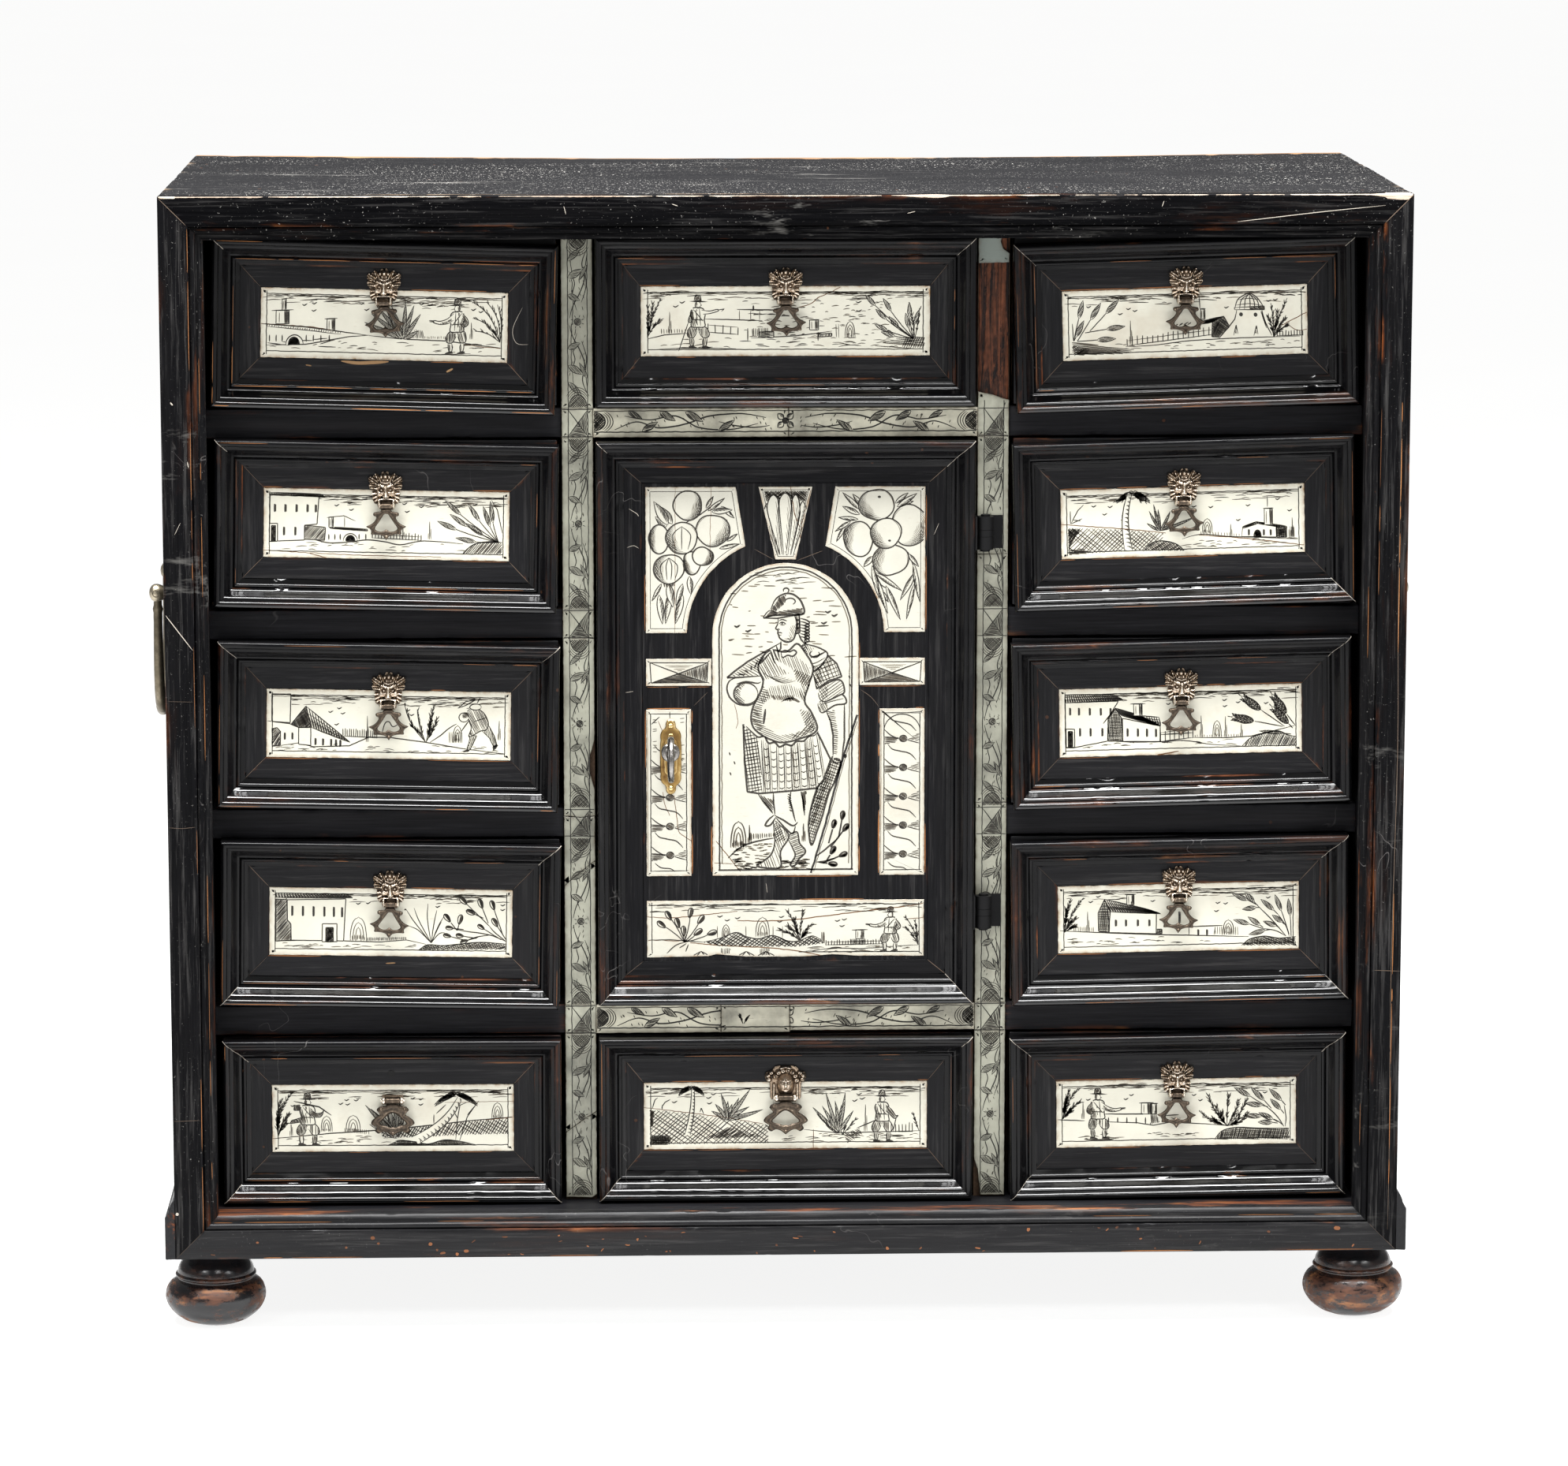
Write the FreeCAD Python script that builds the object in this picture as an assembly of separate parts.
import FreeCAD, Part
import os
from FreeCAD import Vector as V

os.makedirs("parts", exist_ok=True)

# ---------------------------------------------------------------- dimensions
# A table cabinet: an ebonised carcass on bun feet, twelve drawers around a
# central door, bone plaques in moulded fronts.  Millimetres, +Z up, the front
# faces -Y, +X is the viewer's right.  The origin is on the floor, under the
# middle of the whole object.
BODY_W = 630.0          # carcass width
BODY_H = 546.0          # carcass height without feet
DEPTH = 300.0           # front frame face to back panel
FOOT_H = 39.0           # bun foot height
KEY_PROUD = 6.0         # how far the key's bow stands in front of the frame
FRAME_W = 22.0          # mitred front frame, face width
FRAME_T = 12.0          # mitred front frame, thickness
TOP_T = 22.0            # top and bottom boards
SIDE_T = 20.0           # side boards
BACK_T = 10.0           # nailed back panel
PART_T = 16.0           # partitions between the columns
COL_W = 179.0           # side column opening
MID_W = 196.0           # centre column opening
ROW_H = 88.4            # drawer opening height
RAIL_T = 15.0           # boards between the drawers
RECESS = 22.0           # moulding fronts sit this far behind the frame
MOULD_W = 14.0          # front moulding width
MOULD_H = 11.0          # front moulding height
FRONT_T = 15.0          # drawer front and door board
SIDE_GAP = 2.3          # side column drawer front clearance, each side
MID_GAP = 1.4           # centre fronts clearance, each side
ROW_GAP = 1.2           # drawer front clearance above and below
BOX_T = 8.0             # drawer sides and back
BOTTOM_T = 6.0          # drawer bottom
BOX_END = 280.0         # back of the drawer boxes behind the frame face
PLAQUE_T = 1.5          # bone plaque thickness
PLAQUE_PROUD = 0.3      # plaque stands this proud of the black field
PLAQUE_W = 125.0        # side drawer plaque
PLAQUE_WM = 147.0       # centre drawer plaque
PLAQUE_H = 35.5
BONE_T = 2.0            # bone strips on partitions and centre rails
PIVOT_UP = 10.0         # drop pivot above the plaque centre
PIN_R = 1.0             # pull pin
PIN_CLEAR = 0.06        # running clearance of pins
BAIL_Z = 370.0          # side handle pivot height
BAIL_DROP = 67.0        # side handle drop to the bar's middle
BAIL_X = 11.5           # side handle rod centre off the side
BAIL_R = 2.8
POST_Y = 42.0           # side handle posts from the middle of the side
HINGE_X = 102.0         # door hinge axis
HINGE_BACK = 27.8       # door hinge axis behind the frame face
KNUCKLE_R = 4.2
HINGE_PIN_R = 1.5
KEY_X = -59.2
KEY_Z = 297.5
BOLT_THROW = 8.0
FOOT_IN = 19.0          # foot centre inboard of the sides
FOOT_BACK = 26.0        # foot centre behind the front and before the back

YF = -(DEPTH - KEY_PROUD) / 2.0     # frame front face
YB = YF + DEPTH                     # back of the back panel
Z0 = FOOT_H
Z1 = FOOT_H + BODY_H
XS = BODY_W / 2.0
Y_MF = YF + RECESS                  # moulding front plane
Y_FIELD = Y_MF + MOULD_H            # black field of the fronts
Y_PLQ = Y_FIELD - PLAQUE_PROUD      # face of the plaques
Y_RAIL = Y_FIELD + 1.5              # front of partitions and rails
Y_BACKIN = YB - BACK_T              # inside of the back panel


# ------------------------------------------------------------------- helpers
def box(x0, x1, y0, y1, z0, z1):
    return Part.makeBox(x1 - x0, y1 - y0, z1 - z0, V(x0, y0, z0))


def cyl(r, p0, p1):
    d = V(*p1).sub(V(*p0))
    return Part.makeCylinder(r, d.Length, V(*p0), d)


def prism_xz(pts, y0, y1):
    w = [V(x, y0, z) for x, z in pts]
    return Part.Face(Part.makePolygon(w + [w[0]])).extrude(V(0, y1 - y0, 0))


def mirror_pts(half):
    return half + [(-x, z) for x, z in reversed(half) if x > 1e-9]


def save(name, shapes):
    if not isinstance(shapes, list):
        shapes = [shapes]
    solids = []
    for s in shapes:
        solids += s.Solids
    for s in solids:
        if not s.isValid():
            print("INVALID", name)
    shape = solids[0] if len(solids) == 1 else Part.makeCompound(solids)
    shape.exportStep("parts/%s.step" % name)
    return shape


def strips(x0, x1, z0, z1, y_face, prof):
    """Four mitred lengths of one moulding around a rectangle.  prof holds
    (distance in from the outer edge, height in front of y_face)."""
    w = max(u for u, t in prof)
    t = max(t for u, t in prof)
    out = []
    for side in ("bottom", "top", "left", "right"):
        if side in ("bottom", "top"):
            if side == "bottom":
                pts = [V(x0, y_face - h, z0 + u) for u, h in prof]
                trap = [(x0, z0), (x1, z0), (x1 - w, z0 + w), (x0 + w, z0 + w)]
            else:
                pts = [V(x0, y_face - h, z1 - u) for u, h in prof]
                trap = [(x0, z1), (x1, z1), (x1 - w, z1 - w), (x0 + w, z1 - w)]
            run = V(x1 - x0, 0, 0)
        else:
            if side == "left":
                pts = [V(x0 + u, y_face - h, z0) for u, h in prof]
                trap = [(x0, z0), (x0, z1), (x0 + w, z1 - w), (x0 + w, z0 + w)]
            else:
                pts = [V(x1 - u, y_face - h, z0) for u, h in prof]
                trap = [(x1, z0), (x1, z1), (x1 - w, z1 - w), (x1 - w, z0 + w)]
            run = V(0, 0, z1 - z0)
        bar = Part.Face(Part.makePolygon(pts + [pts[0]])).extrude(run)
        cutter = prism_xz(trap, y_face - t - 1.0, y_face)
        out += bar.common(cutter).Solids
    return out


# profiles, outer edge first
MOULD = [(0, 0), (0, 9.4), (0.6, 10.6), (1.8, MOULD_H), (3.0, 10.6), (3.6, 9.4), (3.6, 8.8), (4.6, 8.6),
         (6.4, 7.6), (8.2, 5.6), (9.4, 3.4), (9.4, 2.8), (10.6, 2.6), (11.6, 1.7), (12.8, 1.2),
         (MOULD_W, 1.0), (MOULD_W, 0)]
FRAME = [(0, 0), (0, FRAME_T), (15.0, FRAME_T), (15.0, 11.2), (16.2, 11.4), (17.6, 11.0), (18.4, 9.8),
         (18.6, 8.8), (19.6, 8.6), (20.8, 8.0), (FRAME_W, 7.0), (FRAME_W, 0)]

# ---------------------------------------------------------------- the layout
ZI0 = Z0 + FRAME_W
ZI1 = Z1 - FRAME_W
rows = []                                   # opening (bottom, top), row 1 on top
zt = ZI1
for k in range(5):
    rows.append((zt - ROW_H, zt))
    zt -= ROW_H + RAIL_T
XM = MID_W / 2.0                            # partition inner face
XP = XM + PART_T                            # partition outer face
XC = XP + COL_W                             # column outer edge
cols = {"left": (-XC, -XP), "centre": (-XM, XM), "right": (XP, XC)}
DOOR_Z0, DOOR_Z1 = rows[3][0], rows[1][1]   # door opening

# ------------------------------------------------------------------- carcass
yb0 = YF + FRAME_T
save("carcass_top", box(-XS, XS, yb0, Y_BACKIN, Z1 - TOP_T, Z1))
save("carcass_bottom", box(-XS, XS, yb0, Y_BACKIN, Z0, Z0 + TOP_T))
save("carcass_left_side", box(-XS, -XS + SIDE_T, yb0, Y_BACKIN, Z0 + TOP_T, Z1 - TOP_T))
save("carcass_right_side", box(XS - SIDE_T, XS, yb0, Y_BACKIN, Z0 + TOP_T, Z1 - TOP_T))
save("back_panel", box(-XS, XS, Y_BACKIN, YB, Z0, Z1))
save("front_frame", strips(-XS, XS, Z0, Z1, yb0, FRAME))

# partitions, the left one with a pocket for the lock bolt
bolt_z0, bolt_z1 = KEY_Z + 9.5, KEY_Z + 19.5
bolt_y0, bolt_y1 = Y_FIELD + FRONT_T + 2.5, Y_FIELD + FRONT_T + 7.5
pl = box(-XP, -XM, Y_RAIL, Y_BACKIN, ZI0, ZI1)
pl = pl.cut(box(-XM - BOLT_THROW - 1.5, -XM + 1, bolt_y0 - 1, bolt_y1 + 1, bolt_z0 - 1, bolt_z1 + 1))
pr = box(XM, XP, Y_RAIL, Y_BACKIN, ZI0, ZI1)
save("partitions", [pl, pr])

boards = []
for k in range(4):
    za, zb = rows[k][0] - RAIL_T, rows[k][0]
    boards.append(box(-XS + SIDE_T, -XP, Y_RAIL, Y_BACKIN, za, zb))
    boards.append(box(XP, XS - SIDE_T, Y_RAIL, Y_BACKIN, za, zb))
    if k in (0, 3):
        boards.append(box(-XM, XM, Y_RAIL, Y_BACKIN, za, zb))
save("dust_boards", boards)

# bone strips: pieced lengths on the partitions, and one on each centre rail.
# The right strip has lost a length below its top piece.
yb = Y_RAIL - BONE_T
bone = []
left_cuts = [ZI0, rows[3][0] - RAIL_T, rows[3][0], rows[1][0] - RAIL_T, rows[1][0], rows[0][0] - RAIL_T, rows[0][0], ZI1]
for a, b in zip(left_cuts[:-1], left_cuts[1:]):
    bone.append(box(-XP, -XM, yb, Y_RAIL, a, b))
right_cuts = [(ZI0, rows[3][0] - RAIL_T), (rows[3][0] - RAIL_T, rows[3][0]), (rows[3][0], rows[2][0] + 2.0),
              (rows[2][0] + 2.0, rows[0][0] - RAIL_T), (rows[0][0] - RAIL_T, rows[0][0] + 8.0), (ZI1 - 15.0, ZI1)]
for a, b in right_cuts:
    bone.append(box(XM, XP, yb, Y_RAIL, a, b))
for k in (0, 3):
    bone.append(box(-XM, XM, yb, Y_RAIL, rows[k][0] - RAIL_T, rows[k][0]))
save("bone_strips", bone)

# ---------------------------------------------------------------------- feet
foot_prof = [(0, 0), (10.5, 0), (17.5, 2.0), (22.5, 5.5), (25.2, 9.5), (26.0, 13.5), (25.0, 17.2), (22.4, 19.4),
             (19.4, 20.2), (18.4, 21.2), (18.6, 22.6), (19.6, 23.2), (19.6, 24.6), (18.4, 25.4), (15.6, 27.6),
             (14.0, 30.6), (13.4, 34.0), (0, 34.0)]
feet = []
for sx in (-1, 1):
    for y in (YF + FOOT_BACK, YB - FOOT_BACK):
        pts = [V(r, 0, z * FOOT_H / 34.0) for r, z in foot_prof]
        f = Part.Face(Part.makePolygon(pts + [pts[0]])).revolve(V(0, 0, 0), V(0, 0, 1), 360)
        f.translate(V(sx * (XS - FOOT_IN), y, 0))
        feet.append(f)
save("bun_feet", feet)

# base mouldings along both sides
bm = []
for sx in (-1, 1):
    pts = [V(sx * XS, YF, Z0), V(sx * (XS + 5.0), YF, Z0), V(sx * (XS + 5.0), YF, Z0 + 23.0),
           V(sx * (XS + 3.4), YF, Z0 + 25.0), V(sx * (XS + 3.0), YF, Z0 + 28.0), V(sx * (XS + 1.2), YF, Z0 + 31.0),
           V(sx * XS, YF, Z0 + 31.0)]
    bm.append(Part.Face(Part.makePolygon(pts + [pts[0]])).extrude(V(0, DEPTH, 0)))
save("side_base_mouldings", bm)

# -------------------------------------------------------------- side handles
ym = (YF + YB) / 2.0
posts = []
for sx in (-1, 1):
    xb = sx * (XS + BAIL_X)
    for sy in (-1, 1):
        y = ym + sy * POST_Y
        rose = cyl(9.0, (sx * XS, y, BAIL_Z), (sx * (XS + 2.5), y, BAIL_Z))
        stem = cyl(4.2, (sx * XS, y, BAIL_Z), (sx * (XS + 15.5), y, BAIL_Z))
        hole = cyl(2.0 + PIN_CLEAR, (xb, y - 8, BAIL_Z), (xb, y + 8, BAIL_Z))
        posts.append(rose.fuse(stem).cut(hole))
    ya = POST_Y - 8.0
    rb = 18.0
    zlow = BAIL_Z - BAIL_DROP
    bail = None
    pieces = []
    for sy in (-1, 1):
        pieces.append(cyl(BAIL_R, (xb, ym + sy * ya, zlow + rb), (xb, ym + sy * ya, BAIL_Z + BAIL_R)))
        pieces.append(cyl(2.0, (xb, ym + sy * ya, BAIL_Z), (xb, ym + sy * (POST_Y + 4.6), BAIL_Z)))
        c = Part.Face(Part.Wire(Part.makeCircle(BAIL_R, V(xb, ym + sy * ya, zlow + rb), V(0, 0, 1))))
        pieces.append(c.revolve(V(xb, ym + sy * (ya - rb), zlow + rb), V(1, 0, 0), -90 * sy))
    pieces.append(cyl(BAIL_R, (xb, ym - ya + rb, zlow), (xb, ym + ya - rb, zlow)))
    kp = [V(xb, ym - 8, zlow), V(xb + BAIL_R, ym - 8, zlow), V(xb + 3.6, ym - 4, zlow), V(xb + 4.5, ym - 1.5, zlow),
          V(xb + 4.5, ym + 1.5, zlow), V(xb + 3.6, ym + 4, zlow), V(xb + BAIL_R, ym + 8, zlow), V(xb, ym + 8, zlow)]
    pieces.append(Part.Face(Part.makePolygon(kp + [kp[0]])).revolve(V(xb, ym, zlow), V(0, 1, 0), 360))
    bail = pieces[0].fuse(pieces[1:])
    save("left_bail" if sx < 0 else "right_bail", bail)
save("handle_posts", posts)

# ------------------------------------------------------------------- drawers
def drawer(x0, x1, row, pw):
    z0, z1 = row[0] + ROW_GAP, row[1] - ROW_GAP
    xc, zc = (x0 + x1) / 2.0, (z0 + z1) / 2.0
    plq = box(xc - pw / 2, xc + pw / 2, Y_PLQ, Y_PLQ + PLAQUE_T, zc - PLAQUE_H / 2, zc + PLAQUE_H / 2)
    front = box(x0, x1, Y_FIELD, Y_FIELD + FRONT_T, z0, z1).cut(plq)
    yb_ = Y_FIELD + FRONT_T
    ye = YF + BOX_END
    bottom = box(x0, x1, yb_, ye, z0, z0 + BOTTOM_T)
    zs = z0 + BOTTOM_T
    zt_ = z1 - 2.4
    ls = box(x0, x0 + BOX_T, yb_, ye, zs, zt_)
    rs = box(x1 - BOX_T, x1, yb_, ye, zs, zt_)
    bk = box(x0 + BOX_T, x1 - BOX_T, ye - BOX_T, ye, zs, zt_)
    return [front, bottom, ls, rs, bk, plq] + strips(x0, x1, z0, z1, Y_FIELD, MOULD), (xc, zc)


MASK = [(0, -3.2), (2.4, -3.5), (4.6, -2.8), (6.5, -1.2), (8.2, 1.5), (8.8, 4.5), (9.8, 7.5), (9.6, 11.0), (7.6, 12.6),
        (5.4, 12.2), (3.6, 14.0), (1.6, 15.2), (0, 15.5)]
HEAD = [(0, 3.0), (3.4, 3.0), (5.6, 4.2), (6.6, 7.2), (6.2, 10.2), (4.2, 12.2), (1.5, 13.0), (0, 13.2)]
RING = [(0, -1.0), (3.6, -1.0), (3.6, -3.4), (6.0, -4.2), (7.4, -6.0), (8.0, -8.5), (10.0, -12.0), (8.0, -14.5),
        (7.6, -16.2), (3.0, -16.6), (1.4, -17.4), (0, -19.0)]
HOLE = [(0, -6.0), (1.8, -6.0), (4.2, -8.0), (5.0, -11.0), (4.2, -13.4), (1.6, -14.2), (0, -13.4)]


def at(half, xc, zc, s=1.0):
    return [(xc + x * s, zc + z * s) for x, z in mirror_pts(half)]


def pull(xc, zc, mask_scale):
    """Cast mask with two lugs and a pin for the drop."""
    yp = Y_PLQ - 3.6
    lugs = [box(xc + a, xc + b, Y_PLQ - 5.6, Y_PLQ, zc - 2.0, zc + 2.0) for a, b in ((-5.5, -3.9), (3.9, 5.5))]
    pin = cyl(PIN_R, (xc - 5.5, yp, zc), (xc + 5.5, yp, zc))
    if mask_scale > 0:
        plate = prism_xz(at(MASK, xc, zc, mask_scale), Y_PLQ - 1.2, Y_PLQ)
        head = prism_xz(at(HEAD, xc, zc, mask_scale), Y_PLQ - 5.2, Y_PLQ)
        nose = box(xc - 1.3, xc + 1.3, Y_PLQ - 7.4, Y_PLQ, zc + 3.4, zc + 9.0)
        return plate.fuse([head, nose] + lugs + [pin])
    plate = box(xc - 5.5, xc + 5.5, Y_PLQ - 1.2, Y_PLQ, zc - 2.4, zc + 2.4)
    return plate.fuse(lugs + [pin])


def drop(xc, zc, s):
    yp = Y_PLQ - 3.6
    barrel = cyl(2.1, (xc - 3.6, yp, zc), (xc + 3.6, yp, zc))
    outer = [(x * s if abs(z) > 3.5 else x, z * s if abs(z) > 3.5 else z) for x, z in RING]
    ring = prism_xz(at(outer, xc, zc), yp - 1.2, yp + 1.2)
    ring = ring.cut(prism_xz(at(HOLE, xc, zc, s), yp - 3, yp + 3))
    return barrel.fuse(ring).cut(cyl(PIN_R + PIN_CLEAR, (xc - 5, yp, zc), (xc + 5, yp, zc)))


plan = []
for side in ("left", "right"):
    for k in range(5):
        plan.append(("%s_%d" % (side, k + 1), side, k))
plan += [("centre_top", "centre", 0), ("centre_bottom", "centre", 4)]
for name, side, k in plan:
    x0, x1 = cols[side]
    g = MID_GAP if side == "centre" else SIDE_GAP
    solids, (xc, zc) = drawer(x0 + g, x1 - g, rows[k], PLAQUE_WM if side == "centre" else PLAQUE_W)
    save("drawer_" + name, solids)
    ms, rs = 1.0, 1.0
    if name == "left_5":
        ms, rs = 0.0, 1.12
    if name == "centre_bottom":
        ms, rs = 1.1, 1.15
    save("pull_" + name, pull(xc, zc + PIVOT_UP, ms))
    save("drop_" + name, drop(xc, zc + PIVOT_UP, rs))

# ---------------------------------------------------------------------- door
dx0, dx1 = -XM + MID_GAP, XM - MID_GAP
dz0, dz1 = DOOR_Z0 + MID_GAP, DOOR_Z1 - MID_GAP
dzc = (dz0 + dz1) / 2.0 - 1.0          # plaque layout centre
yp0, yp1 = Y_PLQ, Y_PLQ + PLAQUE_T


def d_plate(pts):
    return prism_xz([(x, dzc + z * PLQ_STRETCH) for x, z in pts], yp0, yp1)


PLQ_STRETCH = 1.017                     # layout height factor
ARCH_Z = 46.2                           # arch springing above the layout centre
ARCH_R = 37.5
BAND_R = 50.6                           # arch with its black band
plaques = []
blk = box(-ARCH_R, ARCH_R, yp0, yp1, dzc - 77.6 * PLQ_STRETCH, dzc + ARCH_Z)
plaques.append(blk.fuse(cyl(ARCH_R, (0, yp0, dzc + ARCH_Z), (0, yp1, dzc + ARCH_Z))).removeSplitter())
for sx in (-1, 1):
    sp = d_plate([(sx * 71.5, 121.0), (sx * 25.5, 121.0), (sx * 17.0, 70.0), (sx * 40.0, 47.0), (sx * 71.5, 47.0)])
    plaques.append(sp.cut(cyl(BAND_R, (0, yp0 - 1, dzc + ARCH_Z), (0, yp1 + 1, dzc + ARCH_Z))))
plaques.append(d_plate([(-13.8, 121.0), (13.8, 121.0), (5.2, 84.2), (-5.2, 84.2)]))
for sx in (-1, 1):
    plaques.append(d_plate([(sx * 38.0, 20.0), (sx * 71.5, 20.0), (sx * 71.5, 33.8), (sx * 38.0, 33.8)]))
    plaques.append(d_plate([(sx * 48.5, -77.6), (sx * 71.5, -77.6), (sx * 71.5, 7.9), (sx * 48.5, 7.9)]))
plaques.append(d_plate([(-71.5, -119.7), (71.5, -119.7), (71.5, -90.5), (-71.5, -90.5)]))
keyhole = cyl(2.6, (KEY_X, YF, KEY_Z), (KEY_X, Y_FIELD + FRONT_T + 2.0, KEY_Z)).fuse(
    box(KEY_X - 1.5, KEY_X + 1.5, YF, Y_FIELD + FRONT_T + 2.0, KEY_Z - 8.5, KEY_Z))
panel = box(dx0, dx1, Y_FIELD, Y_FIELD + FRONT_T, dz0, dz1)
for p in plaques:
    panel = panel.cut(p)
save("door_panel", panel.cut(keyhole))
save("door_plaques", [p.cut(keyhole) for p in plaques])
save("door_mouldings", strips(dx0, dx1, dz0, dz1, Y_FIELD, MOULD))

# hinges: two leaves folded round a pin, at the right edge of the door
yh = YF + HINGE_BACK
f_leaf, d_leaf, pins = [], [], []
for zc in (DOOR_Z0 + 49.0, DOOR_Z1 - 49.0):
    za, zb, zc1, zd = zc - 8.5, zc - 1.8, zc + 1.8, zc + 8.5
    hole = cyl(HINGE_PIN_R + PIN_CLEAR, (HINGE_X, yh, za - 1), (HINGE_X, yh, zd + 1))
    fl = box(HINGE_X + 2.6, HINGE_X + 9.0, yb - 1.0, yb, za, zd)
    for a, b in ((za, zb), (zc1, zd)):
        fl = fl.fuse([cyl(KNUCKLE_R, (HINGE_X, yh, a), (HINGE_X, yh, b)),
                      box(HINGE_X, HINGE_X + 2.6, yb - 1.0, yb, a, b)])
    f_leaf.append(fl.cut(hole))
    dl = box(dx1, dx1 + 0.9, YF + RECESS + 1.0, Y_FIELD + FRONT_T - 2.0, za, zd)
    dl = dl.fuse([cyl(KNUCKLE_R, (HINGE_X, yh, zb + 0.15), (HINGE_X, yh, zc1 - 0.15)),
                  box(dx1, HINGE_X, yh - 1.0, yh + 1.0, zb + 0.15, zc1 - 0.15)])
    d_leaf.append(dl.cut(hole))
    pin = cyl(HINGE_PIN_R, (HINGE_X, yh, za - 1.0), (HINGE_X, yh, zd + 1.0))
    pin = pin.fuse([cyl(2.4, (HINGE_X, yh, zd), (HINGE_X, yh, zd + 1.0)), cyl(2.4, (HINGE_X, yh, za - 1.0), (HINGE_X, yh, za))])
    pins.append(pin)
save("hinge_frame_leaves", f_leaf)
save("hinge_door_leaves", d_leaf)
save("hinge_pins", pins)

# escutcheon with its two domed pins
ex, ez = KEY_X + 0.2, KEY_Z - 3.0
half = [(0, 19.5), (1.7, 19.0), (2.6, 17.4), (2.9, 15.6), (4.4, 13.4), (5.5, 9.0), (5.5, -9.0), (4.4, -13.4), (2.9, -15.6),
        (2.6, -17.4), (1.7, -19.0), (0, -19.5)]
plate = prism_xz(at(half, ex, ez), Y_PLQ - 1.2, Y_PLQ).cut(keyhole)
studs = []
for s in (-1, 1):
    b = Part.makeSphere(1.3, V(ex, Y_PLQ - 1.2, ez + s * 16.2))
    studs.append(b.common(box(ex - 2, ex + 2, Y_PLQ - 3, Y_PLQ - 1.2, ez + s * 16.2 - 2, ez + s * 16.2 + 2)))
save("escutcheon", [plate] + studs)

# lock: case behind the door, bolt, key
yd = Y_FIELD + FRONT_T
case = box(-92, -40, yd, yd + 10, KEY_Z - 16.5, KEY_Z + 25.5)
case = case.cut(box(-90.5, -41.5, yd + 1.5, yd + 8.5, KEY_Z - 15, KEY_Z + 24))
case = case.cut(box(-93, -90, bolt_y0 - 0.3, bolt_y1 + 0.3, bolt_z0 - 0.3, bolt_z1 + 0.3))
case = case.cut(keyhole)
save("lock_case", case)
save("lock_bolt", box(-95.0, -56.0, bolt_y0, bolt_y1, bolt_z0, bolt_z1))
bow_c = YF - KEY_PROUD + 12.0
key = cyl(2.2, (KEY_X, bow_c + 10.4, KEY_Z), (KEY_X, yd + 7.0, KEY_Z))
collar = cyl(4.8, (KEY_X, Y_PLQ - 6.7, KEY_Z), (KEY_X, Y_PLQ - 1.7, KEY_Z))
bow = Part.makeTorus(10.6, 1.4, V(KEY_X, bow_c, KEY_Z), V(1, 0, 0))
bit = box(KEY_X - 1.0, KEY_X + 1.0, yd + 2.5, yd + 7.0, KEY_Z - 7.5, KEY_Z)
save("key", key.fuse([collar, bow, bit]))
